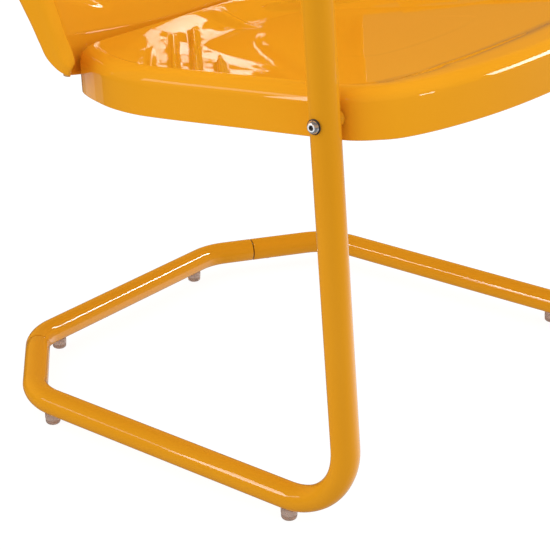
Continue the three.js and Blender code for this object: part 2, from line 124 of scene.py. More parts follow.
def noise(nt, scale, detail=2.0, rough=0.5, coords=None, stretch=None):
    tc = nt.nodes.new("ShaderNodeTexCoord")
    src = tc.outputs["Object"]
    if stretch is not None:
        mp = nt.nodes.new("ShaderNodeMapping")
        mp.inputs["Scale"].default_value = stretch
        nt.links.new(src, mp.inputs["Vector"])
        src = mp.outputs[0]
    n = nt.nodes.new("ShaderNodeTexNoise")
    n.inputs["Scale"].default_value = scale
    n.inputs["Detail"].default_value = detail
    n.inputs["Roughness"].default_value = rough
    nt.links.new(src, n.inputs["Vector"])
    return n.outputs["Fac"]


def ramp(nt, fac, stops):
    r = nt.nodes.new("ShaderNodeValToRGB")
    els = r.color_ramp.elements
    while len(els) < len(stops):
        els.new(0.5)
    for e, (pos, col) in zip(els, stops):
        e.position = pos
        e.color = (*col, 1)
    nt.links.new(fac, r.inputs["Fac"])
    return r.outputs["Color"]


def span(nt, fac, lo, hi, a=0.3, b=0.7):
    m = nt.nodes.new("ShaderNodeMapRange")
    m.inputs["From Min"].default_value = a
    m.inputs["From Max"].default_value = b
    m.inputs["To Min"].default_value = lo
    m.inputs["To Max"].default_value = hi
    nt.links.new(fac, m.inputs["Value"])
    return m.outputs[0]


def bump(nt, bsdf, height, strength, distance):
    b = nt.nodes.new("ShaderNodeBump")
    b.inputs["Strength"].default_value = strength
    b.inputs["Distance"].default_value = distance
    nt.links.new(height, b.inputs["Height"])
    nt.links.new(b.outputs[0], bsdf.inputs["Normal"])
    return b


def paint_material(name, a, b, rough=(0.20, 0.27), peel=0.035, coat=1.0):
    """Baked gloss enamel on steel: a faint orange peel and slow drifts of tint and gloss."""
    m, nt, bsdf = new_material(name)
    tint = noise(nt, 7.0, 3.0)
    nt.links.new(ramp(nt, tint, [(0.30, a), (0.70, b)]), bsdf.inputs["Base Color"])
    nt.links.new(span(nt, noise(nt, 22.0, 2.0), *rough), bsdf.inputs["Roughness"])
    bsdf.inputs["IOR"].default_value = 1.5
    bsdf.inputs["Specular IOR Level"].default_value = 0.0
    bsdf.inputs["Coat Weight"].default_value = coat
    bsdf.inputs["Coat Roughness"].default_value = 0.02
    bsdf.inputs["Coat IOR"].default_value = 1.5
    bump(nt, bsdf, noise(nt, 420.0, 1.5), peel, 0.0004)
    return m


PAINT = paint_material("painted_steel", (0.815, 0.336, 0.0125), (0.835, 0.351, 0.0150))
PAINT_SMALL = paint_material("painted_small_parts", (0.815, 0.336, 0.0125), (0.835, 0.351, 0.0150), peel=0.03)


def steel_material(name, base, rough, stretch, metallic=1.0):
    m, nt, bsdf = new_material(name)
    n = noise(nt, 240.0, 3.0, 0.6, stretch=stretch)
    nt.links.new(ramp(nt, n, [(0.25, tuple(c * 0.86 for c in base)), (0.75, base)]), bsdf.inputs["Base Color"])
    nt.links.new(span(nt, n, *rough), bsdf.inputs["Roughness"])
    bsdf.inputs["Metallic"].default_value = metallic
    bump(nt, bsdf, noise(nt, 900.0, 2.0), 0.05, 0.0002)
    return m


CHROME = steel_material("zinc_steel_bright", (0.86, 0.87, 0.89), (0.08, 0.16), (1, 1, 1), metallic=0.8)
# dark steel: the seat washers' finish, and also painted shade inside the bolt sockets and on the sleeves in the seam
# gaps
DARK_STEEL_AND_SHADE = steel_material("dark_steel", (0.055, 0.050, 0.046), (0.34, 0.50), (1, 1, 1), metallic=0.3)
ZINC = steel_material("zinc_steel_dull", (0.62, 0.63, 0.66), (0.28, 0.42), (1, 1, 1), metallic=0.45)


def glide_material():
    """Clear nylon that has browned a little."""
    m, nt, bsdf = new_material("glide_plastic")
    n = noise(nt, 60.0, 3.0)
    nt.links.new(ramp(nt, n, [(0.3, (0.66, 0.47, 0.38)), (0.7, (0.74, 0.58, 0.50))]), bsdf.inputs["Base Color"])
    nt.links.new(span(nt, noise(nt, 160.0, 2.0), 0.22, 0.36), bsdf.inputs["Roughness"])
    bsdf.inputs["Transmission Weight"].default_value = 0.55
    bsdf.inputs["IOR"].default_value = 1.48
    bump(nt, bsdf, noise(nt, 700.0, 2.0), 0.08, 0.0003)
    return m


GLIDE = glide_material()


def cap_material():
    m, nt, bsdf = new_material("cap_plastic")
    n = noise(nt, 35.0, 3.0)
    nt.links.new(ramp(nt, n, [(0.3, (0.72, 0.30, 0.012)), (0.7, (0.77, 0.33, 0.016))]), bsdf.inputs["Base Color"])
    nt.links.new(span(nt, noise(nt, 120.0, 2.0), 0.34, 0.46), bsdf.inputs["Roughness"])
    bump(nt, bsdf, noise(nt, 1500.0, 2.0), 0.12, 0.0002)
    return m


CAP = cap_material()


# ------------------------------------------------------------- mesh helpers
def build(name, verts, faces, material, sharp=None):
    me = bpy.data.meshes.new(name)
    me.from_pydata(mm(verts).tolist(), [], faces)
    me.validate(verbose=False)
    me.update()
    me.polygons.foreach_set("use_smooth", [True] * len(me.polygons))
    if sharp is not None:
        me.set_sharp_from_angle(angle=rad(sharp))
    ob = bpy.data.objects.new(name, me)
    scene.collection.objects.link(ob)
    me.materials.append(material)
    return ob


def grid_faces(rows, n, wrap_rows=False, base=0, flip=False):
    """Quads between neighbouring rings of n points."""
    out = []
    last = rows if wrap_rows else rows - 1
    for k in range(last):
        a, b = base + k * n, base + ((k + 1) % rows) * n
        for i in range(n):
            j = (i + 1) % n
            q = [a + i, a + j, b + j, b + i]
            out.append(q[::-1] if flip else q)
    return out


def oriented(verts, faces):
    """Faces turned so that they point out."""
    v = np.asarray(verts, float)
    tri = np.array([(f[0], f[i], f[i + 1]) for f in faces for i in range(1, len(f) - 1)])
    a, b, c = v[tri[:, 0]], v[tri[:, 1]], v[tri[:, 2]]
    vol = np.einsum("ij,ij->", a, np.cross(b, c))
    return faces if vol > 0 else [f[::-1] for f in faces]


# -------------------------------------------------------------- bent tubes
TUBE_R, WALL, FOOT_H = 12.7, 1.5, 10.0
BASE_Z = FOOT_H + TUBE_R
SIDE_X, BASE_BEND = 255.0, 62.0
CORNER_FRONT_Y = -170.0
CORNER_REAR_Y = {"left": 210.0, "right": 215.3}
CHAMFER_DEG = {"left": 43.3, "right": 34.0}
BAR_BEND = {"left": 53.0, "right": 62.0}
BAR_Y = 301.0
SEAM_X = {"left": 174.0, "right": 171.3}
SEAM_GAP = 1.3
LEG_LEAN = 5.11
ARM_Z, ARM_BEND = 606.0, 75.0
ARM_MID, ARM_MID_BEND, ARM_END = (140.0, 603.8), 1100.0, (306.0, 565.5)
SIDES = (("left", -1.0), ("right", 1.0))

leg_dir = np.array([0, math.sin(rad(LEG_LEAN)), math.cos(rad(LEG_LEAN))])
chamfer_out, seam_point = {}, {}
for side, s in SIDES:
    w = rad(CHAMFER_DEG[side])
    chamfer_out[side] = np.array([s * math.cos(w), -math.sin(w), 0])
    seam_point[side] = np.array([s * SEAM_X[side], CORNER_REAR_Y[side] + (SIDE_X - SEAM_X[side]) * math.tan(w), BASE_Z])


def arc(corner, d_in, d_out, radius, step, flat=0.0):
    """Stations of the arc that rounds a corner. flat is how far the tube is squeezed in the bend's plane."""
    a, b = unit(d_in), unit(d_out)
    turn = math.acos(np.clip(a @ b, -1, 1))
    n = unit(b - a * (a @ b))
    start = np.asarray(corner, float) - a * radius * math.tan(turn / 2)
    centre = start + n * radius
    steps = max(4, int(math.ceil(turn / rad(step))))
    out = []
    for i in range(steps + 1):
        w = turn * i / steps
        ease = smooth(min(i, steps - i) / (0.35 * steps))
        nn = n * math.cos(w) - a * math.sin(w)
        out.append({"p": centre - n * radius * math.cos(w) + a * radius * math.sin(w),
                    "t": a * math.cos(w) + n * math.sin(w), "n": nn, "k": 1 - flat * ease})
    return out


def straight(a, b, step=18.0):
    """Stations between two others along a straight run, ends left out."""
    d = b["p"] - a["p"]
    m = int(np.linalg.norm(d) // step)
    return [{"p": a["p"] + d * i / (m + 1), "t": unit(d), "n": None, "k": 1.0} for i in range(1, m + 1)]


def run(*parts):
    out = []
    for part in parts:
        if out:
            out += straight(out[-1], part[0])
        out += part
    return out


def end_station(p, t):
    return [{"p": np.asarray(p, float), "t": unit(t), "n": None, "k": 1.0}]


def tube_rings(stations, radii, n, u0=None):
    """One ring for each (station, radius, slide along the tangent)."""
    t0 = stations[0]["t"]
    u = np.cross(t0, [0, 0, 1]) if u0 is None else u0
    u = unit(u - t0 * (u @ t0))
    ang = 2 * np.pi * np.arange(n) / n
    frames = []
    for st in stations:
        t = st["t"]
        u = unit(u - t * (u @ t))
        v = np.cross(t, u)
        frames.append((u, v))
    rings = []
    for i, r, slide in radii:
        st = stations[i]
        u, v = frames[i]
        off = np.outer(np.cos(ang), u) + np.outer(np.sin(ang), v)
        if st["n"] is not None and st["k"] != 1:
            along = off @ st["n"]
            off = off + np.outer(along * (st["k"] - 1), st["n"])
            # what is squeezed one way grows a little the other way
            side = np.cross(st["t"], st["n"])
            off = off + np.outer((off @ side) * (1 - st["k"]) * 0.25, side)
        rings.append(st["p"] + st["t"] * slide + off * r)
    return np.array(rings)


def tube(name, stations, material, n=40, bore_depth=40.0):
    """Closed tube wall with rounded cut ends."""
    K = len(stations)
    inner = TUBE_R - WALL
    outer = [(0, TUBE_R - 0.45, 0.0), (0, TUBE_R - 0.12, 0.15), (0, TUBE_R, 0.5)]
    outer += [(i, TUBE_R, 0.0) for i in range(1, K - 1)]
    outer += [(K - 1, TUBE_R, -0.5), (K - 1, TUBE_R - 0.12, -0.15), (K - 1, TUBE_R - 0.45, 0.0)]
    bore = [(K - 1, inner + 0.2, 0.0), (K - 1, inner, -0.3)]
    bore += [(i, inner, 0.0) for i in range(K - 2, 0, -2)]
    bore += [(0, inner, 0.3), (0, inner + 0.2, 0.0)]
    rings = tube_rings(stations, outer + bore, n)
    faces = grid_faces(len(rings), n, wrap_rows=True)
    verts = rings.reshape(-1, 3)
    return build(name, verts, oriented(verts, faces), material, sharp=60)


def bar_arc(side, s, step):
    w = rad(CHAMFER_DEG[side])
    corner_x = s * (SEAM_X[side] - (BAR_Y - seam_point[side][1]) / math.tan(w))
    return arc([corner_x, BAR_Y, BASE_Z], [s, 0, 0], chamfer_out[side], BAR_BEND[side], step, flat=0.03)


def reverse(stations):
    return [{**st, "t": -st["t"]} for st in stations[::-1]]


side_stations = {}
for side, s in SIDES:
    seam = seam_point[side] + chamfer_out[side] * SEAM_GAP / 2
    leg_y = CORNER_FRONT_Y + (ARM_Z - BASE_Z) * math.tan(rad(LEG_LEAN))
    arm_corner = np.array([s * SIDE_X, leg_y, ARM_Z])
    arm_mid = np.array([s * SIDE_X, *ARM_MID])
    arm_end = np.array([s * SIDE_X, *ARM_END])
    st = run(
        end_station(seam, chamfer_out[side]),
        arc([s * SIDE_X, CORNER_REAR_Y[side], BASE_Z], chamfer_out[side], [0, -1, 0], BASE_BEND, 3, flat=0.03),
        arc([s * SIDE_X, CORNER_FRONT_Y, BASE_Z], [0, -1, 0], leg_dir, BASE_BEND, 3, flat=0.09),
        arc(arm_corner, leg_dir, arm_mid - arm_corner, ARM_BEND, 3, flat=0.05),
        arc(arm_mid, arm_mid - arm_corner, arm_end - arm_mid, ARM_MID_BEND, 1),
        end_station(arm_end, arm_end - arm_mid),
    )
    side_stations[side] = st
    ob = tube(f"side_tube_{side}", st, PAINT)
    d = np.array([0, -math.sin(rad(38)), math.cos(rad(38))])
    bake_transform(ob)
    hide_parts(f"side_rail_{side}", f"upright_arm_{side}")
# the far arm doesn't show in the sheets' gloss
ob.visible_glossy = False

half_bar = {}
for side, s in SIDES:
    a = bar_arc(side, s, 3)
    end = seam_point[side] - chamfer_out[side] * SEAM_GAP / 2
    d = end - a[-1]["p"]
    half_bar[side] = a + (end_station(end, chamfer_out[side]) if np.linalg.norm(d) > 1.5 else [])
left, right = reverse(half_bar["left"]), half_bar["right"]
bar_stations = left + straight(left[-1], right[0]) + right
ob = tube("rear_crossbar_tube", bar_stations, PAINT)
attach(ob, "base")
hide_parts("rear_crossbar")


# -------------------------------------------------- turned and hexagonal bits
def axes(direction):
    d = unit(direction)
    u = unit(np.cross(d, [0, 0, 1] if abs(d[2]) < 0.9 else [1, 0, 0]))
    return d, u, np.cross(d, u)


def hex_radius(ang, flat_radius):
    """Radius of a hexagon at an angle; flat_radius is centre to flat."""
    w = np.mod(ang, np.pi / 3) - np.pi / 6
    return flat_radius / np.cos(w)


def turned(name, profile, origin, direction, material, n=48, closed=False, sharp=35):
    """Body of revolution. profile is [(radius or a function of the angle, height), ...]; a profile that isn't closed starts and ends on the axis."""
    d, u, v = axes(direction)
    ang = 2 * np.pi * np.arange(n) / n
    verts, faces = [], []
    if closed:
        for r, h in profile:
            rr = r(ang) if callable(r) else np.full(n, float(r))
            verts.append(np.asarray(origin) + d * h + np.outer(rr * np.cos(ang), u) + np.outer(rr * np.sin(ang), v))
        verts = np.concatenate(verts)
        faces = grid_faces(len(profile), n, wrap_rows=True)
    else:
        for r, h in profile[1:-1]:
            rr = r(ang) if callable(r) else np.full(n, float(r))
            verts.append(np.asarray(origin) + d * h + np.outer(rr * np.cos(ang), u) + np.outer(rr * np.sin(ang), v))
        k = len(verts)
        faces = grid_faces(k, n)
        verts = np.concatenate(verts + [[np.asarray(origin) + d * profile[0][1]], [np.asarray(origin) + d * profile[-1][1]]])
        a, b = len(verts) - 2, len(verts) - 1
        for i in range(n):
            j = (i + 1) % n
            faces.append([a, j, i])
            faces.append([b, (k - 1) * n + i, (k - 1) * n + j])
    return build(name, verts, oriented(verts, faces), material, sharp=sharp)


def button_bolt(name, origin, direction, length, body, node, head_r=5.5):
    hexa = lambda a: hex_radius(a, 2.0)
    hexa2 = lambda a: hex_radius(a, 2.15)
    profile = [
        (0, -0.9), (0.9, -0.95), (hexa, -1.2), (hexa, -2.95), (hexa2, -3.2), (3.0, -3.3), (3.6, -3.12), (4.3, -2.62),
        (4.9, -1.85), (head_r - 0.1, -0.9), (head_r, -0.35), (head_r - 0.15, 0.0), (3.0, 0.0), (3.0, 1.0),
        (3.0, length - 0.8), (2.4, length - 0.1), (0, length),
    ]
    # nothing on the axis may turn inside out, so the socket's floor comes first
    ob = turned(name, profile, origin, direction, CHROME, n=60, sharp=28)
    # the key socket's inside is painted dark: painted shade in the recess
    ob.data.materials.append(DARK_STEEL_AND_SHADE)
    d = axes(direction)[0]
    for face in ob.data.polygons:
        c = np.array(face.center) - mm(np.asarray(origin, float))
        if np.linalg.norm(c - d * (c @ d)) < 0.00212 and (c @ d) < 0.0:
            face.material_index = 1
    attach(ob, body)
    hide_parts(node)
    return ob


def ring_part(name, origin, direction, outer, inner, length, edge, material, body, node, n=56):
    e = edge
    profile = [
        (inner, 0.0), (outer - e, 0.0), (outer - 0.3 * e, 0.3 * e), (outer, e), (outer, length - e),
        (outer - 0.3 * e, length - 0.3 * e), (outer - e, length), (inner, length),
    ]
    ob = turned(name, profile, origin, direction, material, n=n, closed=True, sharp=50)
    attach(ob, body)
    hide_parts(node)
    return ob


def lock_nut(name, origin, direction, body, node):
    flat = 5.0
    full = lambda a: hex_radius(a, flat)
    cone1 = lambda a: np.minimum(hex_radius(a, flat), 5.12)
    profile = [
        (3.0, 0.0), (4.9, 0.0), (cone1, 0.12), (full, 0.62), (full, 4.7), (cone1, 5.25), (4.75, 5.4), (4.55, 5.6),
        (4.5, 6.4), (4.2, 6.9), (3.7, 7.0), (3.2, 6.7), (3.0, 6.3),
    ]
    ob = turned(name, profile, origin, direction, ZINC, n=72, closed=True, sharp=24)
    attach(ob, body)
    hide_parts(node)
    return ob


SEAT_BOLT = (-137.4, 373.6)
ARM_BOLTS = ((294.3, 568.2), (272.9, 573.1))
tube_out, tube_in = SIDE_X + TUBE_R, SIDE_X - TUBE_R
for side, s in SIDES:
    inward = (-s, 0, 0)
    for label, (y, z), seat in (("seat", SEAT_BOLT, True), ("arm_rear", ARM_BOLTS[0], False), ("arm_front", ARM_BOLTS[1], False)):
        ring_part(f"{label}_washer_ring_{side}", (s * (tube_out + 1.2), y, z), inward, 6.4, 3.2, 1.0, 0.25, DARK_STEEL_AND_SHADE if seat else ZINC, "upper", f"{label}_washer_{side}")
        button_bolt(f"{label}_button_bolt_{side}", (s * (tube_out + 1.3), y, z), inward, 43, "upper", f"{label}_bolt_{side}")
        length = tube_in - 0.3 - 237.3
        ring_part(f"{label}_spacer_bush_{side}", (s * (tube_in - 0.3), y, z), inward, 7.8 if seat else 7.0, 3.2, length, 0.5, PAINT_SMALL, "upper", f"{label}_spacer_{side}")
        lock_nut(f"{label}_lock_nut_{side}", (s * (234.2 if seat else 235.4), y, z), inward, "upper", f"{label}_nut_{side}")
    # plug in the arm's open rear end
    end = np.array([s * SIDE_X, *ARM_END])
    d = unit([0, ARM_END[0] - ARM_MID[0], ARM_END[1] - ARM_MID[1]])
    ob = turned(f"arm_plug_{side}", [
        (0, -7), (9.4, -7), (9.8, -6.6), (9.85, -3), (10.2, 0.1), (12.3, 0.15), (12.5, 0.4), (12.5, 1.2), (12.2, 1.9), (11.3, 2.6),
        (9.0, 3.2), (5, 3.6), (0, 3.75)], end, d, CAP, n=56, sharp=40)
    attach(ob, "upper")
    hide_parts(f"arm_end_cap_{side}")
    # the sleeve keeps its CAD shape and is painted dark, as painted shade that darkens the seam gap; its screw sits
    # almost flush, because no head shows below the seam
    o = frame["nodes"][f"coupling_sleeve_{side}"]
    o.data.materials.clear()
    o.data.materials.append(DARK_STEEL_AND_SHADE)
    lo, hi = (np.asarray(c, float) * 1000.0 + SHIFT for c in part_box(f"joint_screw_{side}"))
    key = lambda a: hex_radius(a, 1.3)
    ob = turned(f"joint_flush_screw_{side}", [
        (0, 1.6), (0.9, 1.55), (key, 1.3), (key, 0.25), (1.9, 0.05), (2.9, 0.12), (3.3, 0.45), (3.4, 1.0), (2.9, 1.6),
        (2.9, 11.4), (0, 12.0)], ((lo[0] + hi[0]) / 2, (lo[1] + hi[1]) / 2, BASE_Z - TUBE_R - 0.35), (0, 0, 1), ZINC, n=48, sharp=30)
    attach(ob, "base")
    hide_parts(f"joint_screw_{side}")


# -------------------------------------------------------------- foot glides
FOOT_R = 7.6
FOOT_RAIL_Y = {"left": (-105.0, 186.0), "right": (-90.0, 201.0)}
FOOT_BAR_X = {"left": 128.0, "right": 99.0}


def glide(name, x, y, along, node):
    """Nylon glide whose head is hollowed to sit against the tube; along is the tube's direction here."""
    n = 48
    ang = 2 * np.pi * np.arange(n) / n
    c, s = np.cos(ang), np.sin(ang)
    across = unit([-along[1], along[0], 0])

    def ring(r, z):
        return np.stack([x + r * c, y + r * s, np.full(n, z)], 1)

    def top(r, lift=0.0):
        q = np.stack([x + r * c, y + r * s], 1)
        off = (q - [x, y]) @ across[:2]
        z = BASE_Z - np.sqrt((TUBE_R + 0.06) ** 2 - off ** 2) - lift
        return np.concatenate([q, z[:, None]], 1)

    rows = [ring(r, z) for r, z in (
        (1.5, 0.35), (3.6, 0.3), (4.3, 0.05), (5.0, 0.0), (5.9, 0.25), (6.7, 0.95), (7.15, 1.8), (7.3, 2.6), (7.35, 4.2),
        (7.0, 4.6), (7.0, 5.0), (7.4, 5.4), (7.6, 6.2), (7.6, 8.0))]
    t = top(FOOT_R, 0.5)
    rows.append(t)
    rows.append(top(FOOT_R - 0.2, 0.15))
    rows += [top(r) for r in (FOOT_R - 0.6, 5.0, 2.5)]
    verts = np.concatenate(rows + [[[x, y, 0.35]], [[x, y, BASE_Z - TUBE_R - 0.06]]])
    faces = grid_faces(len(rows), n)
    a, b, k = len(verts) - 2, len(verts) - 1, len(rows) - 1
    for i in range(n):
        j = (i + 1) % n
        faces.append([a, j, i])
        faces.append([b, k * n + i, k * n + j])
    ob = build(name, verts, oriented(verts, faces), GLIDE, sharp=50)
    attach(ob, "base")
    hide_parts(node)


for side, s in SIDES:
    glide(f"glide_front_{side}", s * SIDE_X, FOOT_RAIL_Y[side][0], (0, 1), f"foot_glide_front_{side}")
    glide(f"glide_middle_{side}", s * SIDE_X, FOOT_RAIL_Y[side][1], (0, 1), f"foot_glide_middle_{side}")
    glide(f"glide_rear_{side}", s * FOOT_BAR_X[side], BAR_Y, (1, 0), f"foot_glide_rear_{side}")


# ------------------------------------------------------------ pressed sheet
def closed_spline(points, params, ts):
    """Smooth closed curve through points at params (the last one closes on the first), read at ts. Works on any number of columns."""
    p = np.asarray(points, float)
    n = len(p)
    total = params[-1]
    k = np.asarray(params[:-1], float)
    prev = np.roll(p, 1, 0)
    nxt = np.roll(p, -1, 0)
    h0 = np.diff(np.concatenate([[k[-1] - total], k]))
    h1 = np.diff(np.concatenate([k, [total]]))
    m = ((p - prev) / h0[:, None] * h1[:, None] + (nxt - p) / h1[:, None] * h0[:, None]) / (h0 + h1)[:, None]
    ts = np.mod(ts, total)
    i = np.searchsorted(k, ts, side="right") - 1
    h = h1[i]
    t = ((ts - k[i]) / h)[:, None]
    h = h[:, None]
    j = (i + 1) % n
    return ((2 * t ** 3 - 3 * t ** 2 + 1) * p[i] + (t ** 3 - 2 * t ** 2 + t) * h * m[i]
            + (-2 * t ** 3 + 3 * t ** 2) * p[j] + (t ** 3 - t ** 2) * h * m[j])


def chord_params(points, power=0.5):
    p = np.asarray(points, float)
    d = np.linalg.norm(np.roll(p, -1, 0) - p, axis=1) ** power
    return np.concatenate([[0], np.cumsum(d)])


def row_normals(rows):
    """Unit normals of a grid of closed rings; the first ring is one point."""
    up = np.concatenate([rows[:1], rows[:-1]])
    dn = np.concatenate([rows[1:], rows[-1:]])
    e = dn - up
    f = np.roll(rows, -1, 1) - np.roll(rows, 1, 1)
    n = np.cross(e, f)
    n[0] = n[1].sum(0)
    return n / np.maximum(np.linalg.norm(n, axis=2, keepdims=True), 1e-12)


def pressed(name, rows, thickness, material, edge_round=True):
    """Closed sheet: rows is the outer skin, centre first. The inner skin has half as many rows and columns."""
    rows = np.asarray(rows, float)
    K, n, _ = rows.shape
    nor = row_normals(rows)
    # which way is in
    inner_rows = [k for k in range(2, K - 1, 2)][::-1]
    skin = rows - nor * thickness
    last_out = rows[-1]
    tang = rows[-1] - rows[-2]
    tang = tang / np.linalg.norm(tang, axis=1, keepdims=True)
    lip = last_out - nor[-1] * thickness / 2 + tang * 0.35
    verts = [rows[0][:1]] + [rows[k] for k in range(1, K)] + [lip]
    faces = []
    for i in range(n):
        faces.append([0, 1 + (i + 1) % n, 1 + i])
    faces += grid_faces(K, n, base=1)          # rings 1..K-1 and the lip
    edge_in = (rows[-1] - nor[-1] * thickness)[::2]
    inner = [edge_in] + [skin[k][::2] for k in inner_rows]
    base_lip = 1 + (K - 1) * n
    base_in = 1 + K * n
    m = n // 2
    for j in range(m):
        a, b, c = base_lip + 2 * j, base_lip + 2 * j + 1, base_lip + (2 * j + 2) % n
        p, q = base_in + j, base_in + (j + 1) % m
        faces += [[a, b, p], [b, c, q], [b, q, p]]
    faces += grid_faces(len(inner), m, base=base_in)
    centre = base_in + len(inner) * m
    for j in range(m):
        faces.append([base_in + (len(inner) - 1) * m + j, base_in + (len(inner) - 1) * m + (j + 1) % m, centre])
    verts = np.concatenate(verts + inner + [skin[0][:1]])
    return build(name, verts, oriented(verts, faces), material)


SHEET = 1.2

# --------------------------------------------------------------------- seat
SEAT_RAKE, SEAT_BOTTOM_Z, SEAT_H, SEAT_ROLL, SEAT_DRAFT, DISH = rad(5.77), 340.8, 42.0, 15.0, 1.5, 15.5
SEAT_OUTLINE = [
    (0, -227), (50, -225.4), (90, -222.2), (126, -216.7), (158, -209), (186, -199.6), (206, -190.2), (218, -181.8),
    (226, -171), (232, -161), (235.7, -150.5), (237, -135), (237, -40), (237, 50), (235.4, 78), (231, 100),
    (223.5, 124), (212.5, 148), (205, 163), (197, 177), (188, 190), (176.5, 200.8), (163.5, 206.4), (148, 208), (100, 207.5), (0, 207.5)]


def polyline_distance(x, y, poly):
    """Distance to a closed polyline, for arrays of points."""
    best = np.full(x.shape, 1e9)
    m = len(poly)
    for i in range(m):
        a, b = poly[i], poly[(i + 1) % m]
        d = b - a
        t = np.clip(((x - a[0]) * d[0] + (y - a[1]) * d[1]) / (d @ d), 0, 1)
        best = np.minimum(best, np.hypot(x - a[0] - t * d[0], y - a[1] - t * d[1]))
    return best


# ribs pressed up in each rear quarter: inner end, outer end
RIBS = [((-182, 126), (-223, 83)), ((-117, 161), (-223, 68)), ((-88, 159), (-223, 40)), ((-58, 159), (-221, 16)), ((-146, 53), (-217, -8))]
# the hollow's upper edge and the line where its wall meets the floor, in the left half
HOLLOW_TOP = np.array([(20, 197), (-20, 196), (-50, 191), (-69, 188), (-94, 183), (-144, 158), (-188, 134), (-215, 116), (-224, 98), (-225, 60),
                       (-225, 0), (-225, -60), (-222, -110), (-218, -150), (-206, -176), (-180, -192), (-120, -208), (0, -216)], float)
HOLLOW_FOOT = np.array([(30, 142), (-30, 140), (-62, 136), (-84, 126), (-98, 104), (-111, 75), (-122, 45), (-133, 15), (-143, -11), (-152, -26), (-170, -42),
                        (-186, -58), (-198, -85), (-198, -115), (-184, -140), (-152, -156), (-95, -166), (0, -168)], float)


def open_distance(x, y, poly):
    best = np.full(x.shape, 1e9)
    for a, b in zip(poly[:-1], poly[1:]):
        d = b - a
        t = np.clip(((x - a[0]) * d[0] + (y - a[1]) * d[1]) / (d @ d), 0, 1)
        best = np.minimum(best, np.hypot(x - a[0] - t * d[0], y - a[1] - t * d[1]))
    return best


def inside(x, y, poly):
    """Even-odd test for arrays of points."""
    hit = np.zeros(x.shape, bool)
    for a, b in zip(poly, np.roll(poly, -1, 0)):
        if a[1] == b[1]:
            continue
        cross = (a[1] > y) != (b[1] > y)
        hit ^= cross & (x < a[0] + (y - a[1]) / (b[1] - a[1]) * (b[0] - a[0]))
    return hit


def seat_drop(x, y, edge):
    """How far the seat's surface lies below the rim. edge is the distance inside the field's border."""
    ax = np.abs(x)
    px, py = -ax, y
    top_loop = np.concatenate([HOLLOW_TOP, [(60, -216), (60, 197)]])
    foot_loop = np.concatenate([HOLLOW_FOOT, [(60, -168), (60, 142)]])
    d_top, d_foot = open_distance(px, py, HOLLOW_TOP), open_distance(px, py, HOLLOW_FOOT)
    w = d_top / np.maximum(d_top + d_foot, 1e-6)
    w = np.where(inside(px, py, foot_loop), 1.0, np.where(inside(px, py, top_loop), w, 0.0))
    front = np.where(y < 60, 1 - np.clip((60 - y) / 277, 0, 1) ** 1.8, 1)
    floor = DISH * front
    # along the side the wall starts from a step behind the rim
    side_top = lerp(1.0, 9.5, smooth((112 - y) / 78)) * smooth((ax - 120) / 50)
    shelf = np.minimum(side_top, 0.62 * floor)
    drop = lerp(shelf, np.maximum(floor, shelf), 0.5 * w + 0.5 * smooth(w))
    # the hollow runs out gently towards the front
    drop = drop * smooth((edge + 1.5) / lerp(8.0, 40.0, smooth((-y - 120) / 60)))
    # middle rib
    wy = np.interp(y, [118, 128, 137, 148, 163, 178, 198, 215], [1, 5, 9.5, 14, 17, 19, 30, 36])
    m = 0.5 + 0.5 * np.cos(np.pi * np.minimum(1, ax / wy))
    lift = np.interp(y, [122, 150, 175, 198], [0.0, 5.0, 6.0, 3.0])
    return drop - np.minimum(drop - 1.2, lift) * m * (drop > 1.2)


def with_ribs(x, y, drop):
    """The drop once the side ribs are pressed up."""
    px, py = -np.abs(x), y
    for (x0, y0), (x1, y1) in RIBS:
        a = np.array([x0, y0])
        d = np.array([x1, y1]) - a
        L = np.hypot(*d)
        d = d / L
        s = (px - a[0]) * d[0] + (py - a[1]) * d[1]
        q = np.abs((px - a[0]) * -d[1] + (py - a[1]) * d[0])
        prof = 1 - smooth((q - 0.9) / 3.0)
        fade = smooth((s + 5) / 9.0) * (s < L + 25)
        top = lerp(4.6, 1.2, np.clip(s / L, 0, 1))
        drop = lerp(drop, np.minimum(drop, top), prof * fade)
    return drop


def soften(field, times):
    """Averages every point with its neighbours in the ring and in the rings beside it."""
    f = field.copy()
    for _ in range(times):
        g = f.copy()
        g[1:-1] = 0.5 * f[1:-1] + 0.125 * (f[:-2] + f[2:] + np.roll(f, 1, 1)[1:-1] + np.roll(f, -1, 1)[1:-1])
        f = g
    return f


half = SEAT_OUTLINE
outline = np.array([(x, y) for x, y in half] + [(-x, y) for x, y in half[1:-1][::-1]], float)
par = chord_params(outline)
dense = closed_spline(outline, par, np.linspace(0, par[-1], 4001)[:-1])
seg = np.linalg.norm(np.roll(dense, -1, 0) - dense, axis=1)
# more columns where the ribs are
seg = seg * lerp(0.7, 1.4, smooth((dense[:, 1] + 70) / 60))
cum = np.concatenate([[0], np.cumsum(seg)])
N_SEAT = 520
tt = np.interp(np.linspace(0, cum[-1], N_SEAT + 1)[:-1], cum, np.linspace(0, par[-1], 4001))
outline = closed_spline(outline, par, tt)
tangent = np.roll(outline, -1, 0) - np.roll(outline, 1, 0)
out_n = np.stack([tangent[:, 1], -tangent[:, 0]], 1)
out_n /= np.linalg.norm(out_n, axis=1, keepdims=True)
if (out_n * outline).sum() < 0:
    out_n = -out_n
BORDER = 14.5
border = outline - out_n * BORDER
border_poly = border[::4]


def seat_ring(xy, drop):
    return np.concatenate([xy, (SEAT_H - drop)[:, None]], 1)


